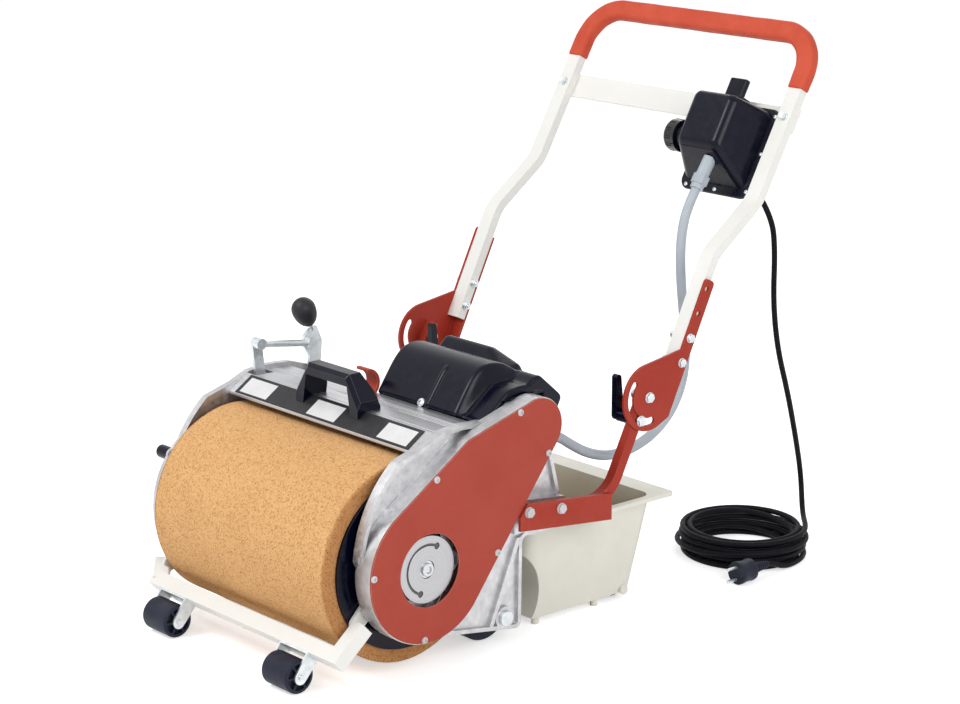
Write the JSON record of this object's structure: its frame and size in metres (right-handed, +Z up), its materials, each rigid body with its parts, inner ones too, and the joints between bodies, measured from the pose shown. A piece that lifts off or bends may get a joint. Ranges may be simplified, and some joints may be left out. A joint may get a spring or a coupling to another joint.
{
  "type": "sponge roller floor washer",
  "caption": "Walk-behind floor washer with a belt-driven sponge drum, hand-levered wringer roller, slide-out water tub, folding tubular handle, switch box and coiled mains lead.",
  "frame": {"origin": "on the floor, under the middle of the machine without its mains lead", "axes": "+Z up, +Y to the rear where the operator stands, +X to the drive case side"},
  "size_m": [0.5311, 1.0554, 0.8382],
  "materials": {
    "sponge": "open-pored orange sponge",
    "cast_aluminium": "bare cast aluminium, satin",
    "extruded_aluminium": "bright drawn aluminium",
    "red_paint": "semi-gloss red paint",
    "cream_paint": "semi-gloss cream paint",
    "cream_plastic": "moulded cream plastic",
    "black_plastic": "textured black plastic",
    "black_gloss": "polished black plastic",
    "black_rubber": "black rubber",
    "red_foam": "soft red foam",
    "zinc": "zinc-plated steel",
    "grey_plastic": "grey flexible plastic",
    "black_fields": "plain printed strip"
  },
  "bodies": {
    "chassis": {"side_casting_right": "cast_aluminium", "side_casting_left": "cast_aluminium", "drive_case": "cast_aluminium", "drive_cover": "red_paint", "cover_screws": "zinc", "top_profile": "extruded_aluminium", "label_strip": "black_fields", "bridge_handle": "black_plastic", "motor_cover": "black_plastic", "motor": "cast_aluminium", "gearbox": "cast_aluminium", "rear_axle": "zinc", "rear_tie_bar": "zinc", "drain_chute": "zinc", "roller_bearings": "zinc", "left_bearing_cap": "black_plastic", "drive_belt": "black_rubber", "arm_right": "red_paint", "arm_left": "red_paint", "arm_bolts": "zinc", "quadrant_bolts": "zinc", "cable_hook": "red_paint", "caster_pivot_pins": "zinc", "power_cord_coil": "black_rubber", "power_plug": "black_rubber"},
    "handle": {"handle_tube": "cream_paint", "handle_grip": "red_foam", "cross_plate": "cream_paint", "quadrant_left": "red_paint", "quadrant_right": "red_paint", "handle_bolts": "zinc", "switch_box": "black_plastic", "switch_box_lid": "black_plastic", "cable_glands": "grey_plastic", "conduit": "grey_plastic", "power_cord_drop": "black_rubber"},
    "switch": {"switch_knob": "black_gloss"},
    "clamp_right": {"clamp_lever_right": "black_plastic"},
    "clamp_left": {"clamp_lever_left": "black_plastic"},
    "rear_roll_right": {"rear_wheel_right": "black_rubber"},
    "rear_roll_left": {"rear_wheel_left": "black_rubber"},
    "caster": {"caster_frame": "cream_paint", "caster_forks": "zinc"},
    "caster_roll_right": {"caster_wheel_right": "black_rubber"},
    "caster_roll_left": {"caster_wheel_left": "black_rubber"},
    "drum": {"sponge_sleeve": "sponge", "roller_core": "grey_plastic", "roller_flanges": "black_plastic", "roller_shaft": "zinc", "driven_pulley": "cast_aluminium", "drive_hub": "extruded_aluminium"},
    "pinion": {"drive_pulley": "cast_aluminium"},
    "wring_arm": {"wringer_frame": "zinc"},
    "wring_roll": {"wringer_roller": "grey_plastic"},
    "lever": {"wringer_lever": "zinc", "lever_knob": "black_gloss"},
    "link": {"wringer_link": "zinc"},
    "tub_body": {"tub": "cream_plastic"},
    "tub_roll": {"tub_wheels": "black_plastic"},
    "release": {"release_knob": "black_plastic"}
  },
  "joints": [
    {"name": "drum_spin", "type": "hinge", "parent": "chassis", "child": "drum", "pos_m": [0, -0.30028, 0.16], "axis": [1, 0, 0], "continuous": true},
    {"name": "pinion_spin", "type": "hinge", "parent": "chassis", "child": "pinion", "pos_m": [0, -0.10028, 0.324], "axis": [1, 0, 0], "continuous": true},
    {"name": "rear_wheel_right_spin", "type": "hinge", "parent": "chassis", "child": "rear_roll_right", "pos_m": [0, -0.14028, 0.046], "axis": [1, 0, 0], "continuous": true},
    {"name": "rear_wheel_left_spin", "type": "hinge", "parent": "chassis", "child": "rear_roll_left", "pos_m": [0, -0.14028, 0.046], "axis": [1, 0, 0], "continuous": true},
    {"name": "caster_swing", "type": "hinge", "parent": "chassis", "child": "caster", "pos_m": [0, -0.37228, 0.116], "axis": [-1, 0, 0], "range_deg": [0, 40]},
    {"name": "caster_right_spin", "type": "hinge", "parent": "caster", "child": "caster_roll_right", "pos_m": [0, -0.46515, 0.024], "axis": [1, 0, 0], "continuous": true},
    {"name": "caster_left_spin", "type": "hinge", "parent": "caster", "child": "caster_roll_left", "pos_m": [0, -0.46515, 0.024], "axis": [1, 0, 0], "continuous": true},
    {"name": "handle_fold", "type": "hinge", "parent": "chassis", "child": "handle", "pos_m": [0, 0.11073, 0.331], "axis": [1, 0, 0], "range_deg": [-35, 100], "deforming": ["conduit", "power_cord_drop"]},
    {"name": "switch_turn", "type": "hinge", "parent": "handle", "child": "switch", "pos_m": [0, 0.35255, 0.66347], "axis": [1, 0, 0], "range_deg": [0, 90]},
    {"name": "clamp_right_turn", "type": "hinge", "parent": "chassis", "child": "clamp_right", "pos_m": [0, 0.09438, 0.29892], "axis": [1, 0, 0], "range_deg": [0, 100]},
    {"name": "clamp_left_turn", "type": "hinge", "parent": "chassis", "child": "clamp_left", "pos_m": [0, 0.09438, 0.29892], "axis": [1, 0, 0], "range_deg": [0, 100]},
    {"name": "lever_swing", "type": "hinge", "parent": "chassis", "child": "lever", "pos_m": [0, -0.14627, 0.308], "axis": [1, 0, 0], "range_deg": [0, 15]},
    {"name": "link_swing", "type": "hinge", "parent": "lever", "child": "link", "pos_m": [0, -0.15327, 0.37], "axis": [1, 0, 0], "range_deg": [-15, 0]},
    {"name": "wringer_swing", "type": "hinge", "parent": "chassis", "child": "wring_arm", "pos_m": [0, -0.24127, 0.322], "axis": [1, 0, 0], "range_deg": [0, 15]},
    {"name": "wringer_spin", "type": "hinge", "parent": "wring_arm", "child": "wring_roll", "pos_m": [0, -0.19137, 0.28528], "axis": [1, 0, 0], "continuous": true},
    {"name": "tub_slide", "type": "slide", "parent": "chassis", "child": "tub_body", "axis": [0, 1, 0], "range_m": [0, 0.15]},
    {"name": "tub_wheel_spin", "type": "hinge", "parent": "tub_body", "child": "tub_roll", "pos_m": [0, 0.12973, 0.016], "axis": [1, 0, 0], "continuous": true},
    {"name": "release_turn", "type": "hinge", "parent": "chassis", "child": "release", "pos_m": [0, -0.39327, 0.236], "axis": [1, 0, 0], "range_deg": [0, 90]}
  ],
  "couplings": [
    {"joint": "pinion_spin", "follows": "drum_spin", "ratio": 2.9231},
    {"joint": "link_swing", "follows": "lever_swing", "ratio": -1},
    {"joint": "wringer_swing", "follows": "lever_swing", "ratio": 1}
  ]
}
